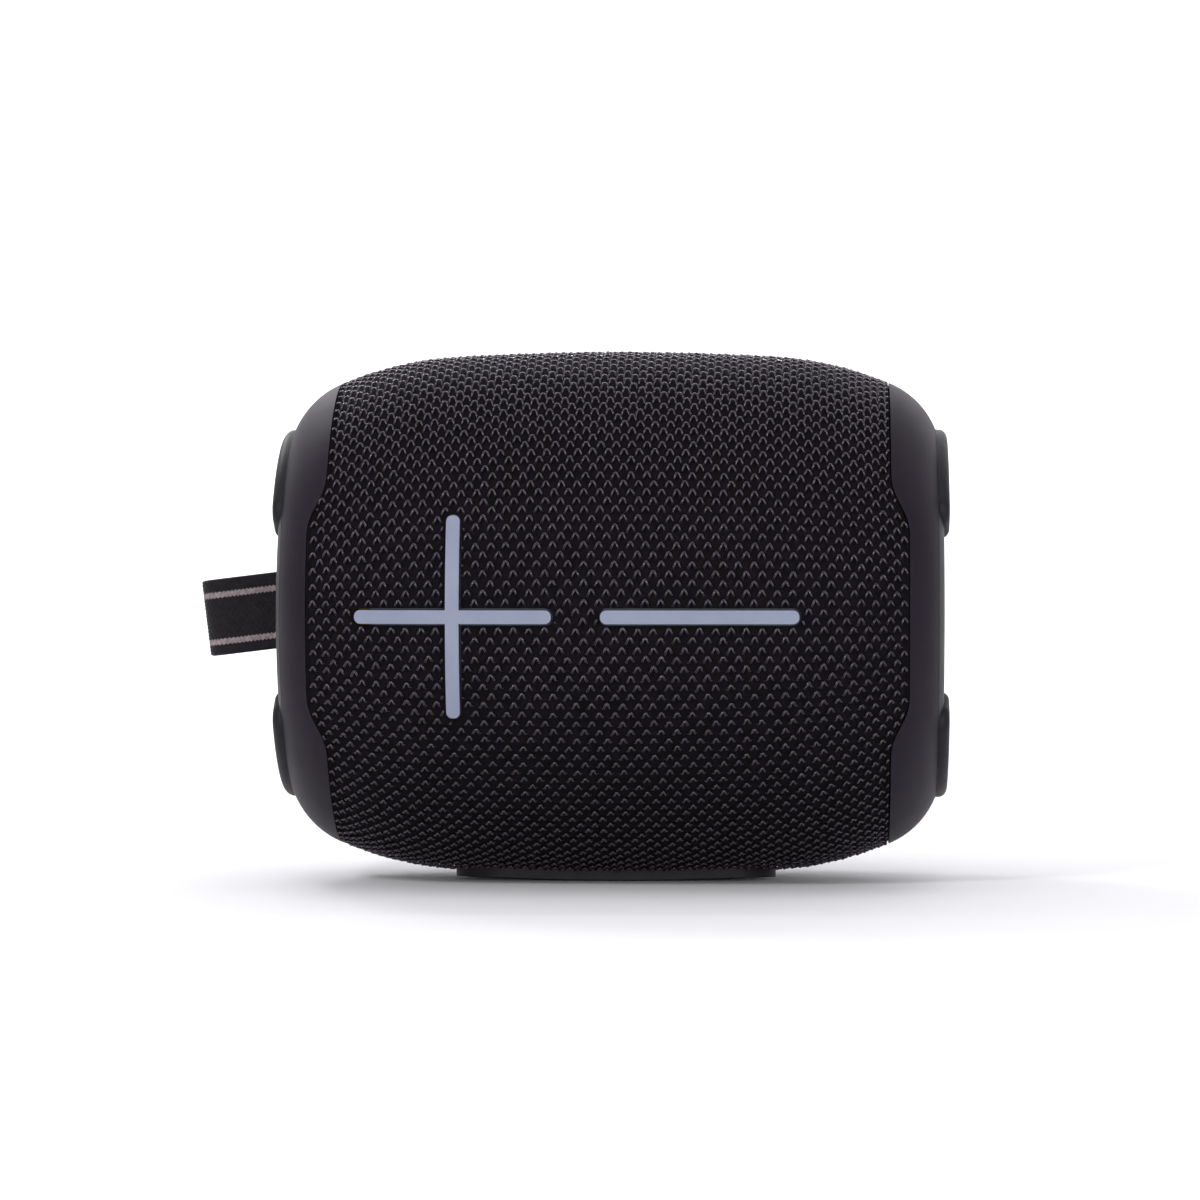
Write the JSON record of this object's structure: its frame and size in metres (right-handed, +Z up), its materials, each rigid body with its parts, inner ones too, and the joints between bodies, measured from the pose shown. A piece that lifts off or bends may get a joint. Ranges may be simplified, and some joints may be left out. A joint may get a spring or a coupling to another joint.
{
  "type": "shower speaker",
  "caption": "Waterproof barrel-shaped loudspeaker in black knit with raised plus and minus keys, domed end caps, rubber end discs and a short carry strap.",
  "frame": {"origin": "middle of the flat underside of the rubber foot, on the surface that the speaker lies on", "axes": "+X along the barrel, away from the carry strap; -Y out of the side with the plus and minus keys; +Z up"},
  "size_m": [0.1213, 0.0851, 0.0854],
  "materials": {
    "speaker_fabric": "black polyester knit with a purple cast, coarse chain weave",
    "cap_plastic": "soft-touch purple-black",
    "bumper_rubber": "blue-black moulded silicone, satin",
    "button_rubber": "blue-black moulded silicone, satin",
    "key_rubber": "light blue-grey silicone, matte",
    "strap_webbing": "black ribbed webbing with two thin pinkish-grey stripes",
    "steel": "plain zinc-plated",
    "light_lens": "milky clear",
    "socket_steel": "drawn nickel-plated shell",
    "circuit_board": "green solder mask",
    "seal_rubber": "matte black",
    "grille_plastic": "moulded black",
    "chassis_plastic": "moulded dark grey",
    "driver_steel": "black painted pressing",
    "magnet_steel": "zinc-plated yoke",
    "surround_rubber": "satin black",
    "cone_paper": "matte pressed pulp",
    "coil_copper": "lacquered copper winding",
    "spider_cloth": "resin-treated cloth",
    "radiator_alloy": "black anodised",
    "cell_wrap": null,
    "component_black": "moulded component bodies",
    "switch_body": "tact switch",
    "lead_black": "silicone insulation",
    "lead_red": "silicone insulation",
    "ribbon_film": "polyimide film"
  },
  "bodies": {
    "housing": {"fabric_sleeve": "speaker_fabric", "left_end_cap": "cap_plastic", "right_end_cap": "cap_plastic", "left_bumper": "bumper_rubber", "right_bumper": "bumper_rubber", "foot_strip": "bumper_rubber", "strap_pin": "steel", "status_lens": "light_lens", "usb_socket": "socket_steel", "port_board": "circuit_board", "port_seal": "seal_rubber", "front_grille": "grille_plastic", "rear_grille": "grille_plastic", "front_chassis": "chassis_plastic", "rear_chassis": "chassis_plastic", "chassis_gasket": "seal_rubber", "left_end_frame": "chassis_plastic", "right_end_frame": "chassis_plastic", "driver_basket": "driver_steel", "driver_magnet": "magnet_steel", "driver_surround": "surround_rubber", "spider": "spider_cloth", "driver_gasket": "seal_rubber", "driver_screws": "steel", "radiator_frame": "chassis_plastic", "radiator_surround": "surround_rubber", "radiator_screws": "steel", "battery_cell": "cell_wrap", "battery_clamps": "chassis_plastic", "main_board": "circuit_board", "board_components": "component_black", "board_screws": "steel", "key_board": "circuit_board", "key_switches": "switch_body", "button_board": "circuit_board", "button_switches": "switch_body", "status_led": "light_lens", "left_end_screws": "steel", "right_end_screws": "steel", "chassis_screws": "steel", "wire_grommets": "seal_rubber", "control_lead": "lead_black", "power_lead": "lead_red", "battery_lead": "lead_red", "driver_lead": "lead_black", "key_ribbon": "ribbon_film"},
    "plus_key": {"plus_key": "key_rubber"},
    "minus_key": {"minus_key": "key_rubber"},
    "power_button": {"power_button": "button_rubber"},
    "pair_button": {"pair_button": "button_rubber"},
    "port_flap": {"port_cover": "bumper_rubber"},
    "strap": {"carry_strap": "strap_webbing"},
    "cone": {"driver_cone": "cone_paper", "dust_cap": "cone_paper", "voice_coil": "coil_copper"},
    "radiator": {"radiator_plate": "radiator_alloy", "radiator_weight": "steel"}
  },
  "joints": [
    {"name": "plus_key_press", "type": "slide", "parent": "housing", "child": "plus_key", "axis": [0, 1, 0], "range_m": [0, 0.0006], "stiffness_N_per_m": 1500, "springref_m": -0.0006},
    {"name": "minus_key_press", "type": "slide", "parent": "housing", "child": "minus_key", "axis": [0, 1, 0], "range_m": [0, 0.0006], "stiffness_N_per_m": 1500, "springref_m": -0.0006},
    {"name": "power_button_press", "type": "slide", "parent": "housing", "child": "power_button", "axis": [1, 0, 0], "range_m": [0, 0.0005], "stiffness_N_per_m": 1500, "springref_m": -0.0006},
    {"name": "pair_button_press", "type": "slide", "parent": "housing", "child": "pair_button", "axis": [1, 0, 0], "range_m": [0, 0.0005], "stiffness_N_per_m": 1500, "springref_m": -0.0006},
    {"name": "port_flap_hinge", "type": "hinge", "parent": "housing", "child": "port_flap", "pos_m": [0.05175, 0, 0.0483], "axis": [0, -1, 0], "range_deg": [0, 100]},
    {"name": "strap_swing", "type": "hinge", "parent": "housing", "child": "strap", "pos_m": [-0.0504, 0, 0.0432], "axis": [0, 0, 1], "range_deg": [-38, 38]},
    {"name": "cone_stroke", "type": "slide", "parent": "housing", "child": "cone", "axis": [0, -1, 0], "range_m": [-0.0015, 0.0015], "stiffness_N_per_m": 1500, "deforming": ["driver_surround", "spider"]},
    {"name": "radiator_stroke", "type": "slide", "parent": "housing", "child": "radiator", "axis": [0, 1, 0], "range_m": [-0.0025, 0.0025], "stiffness_N_per_m": 1500, "deforming": ["radiator_surround"]}
  ]
}
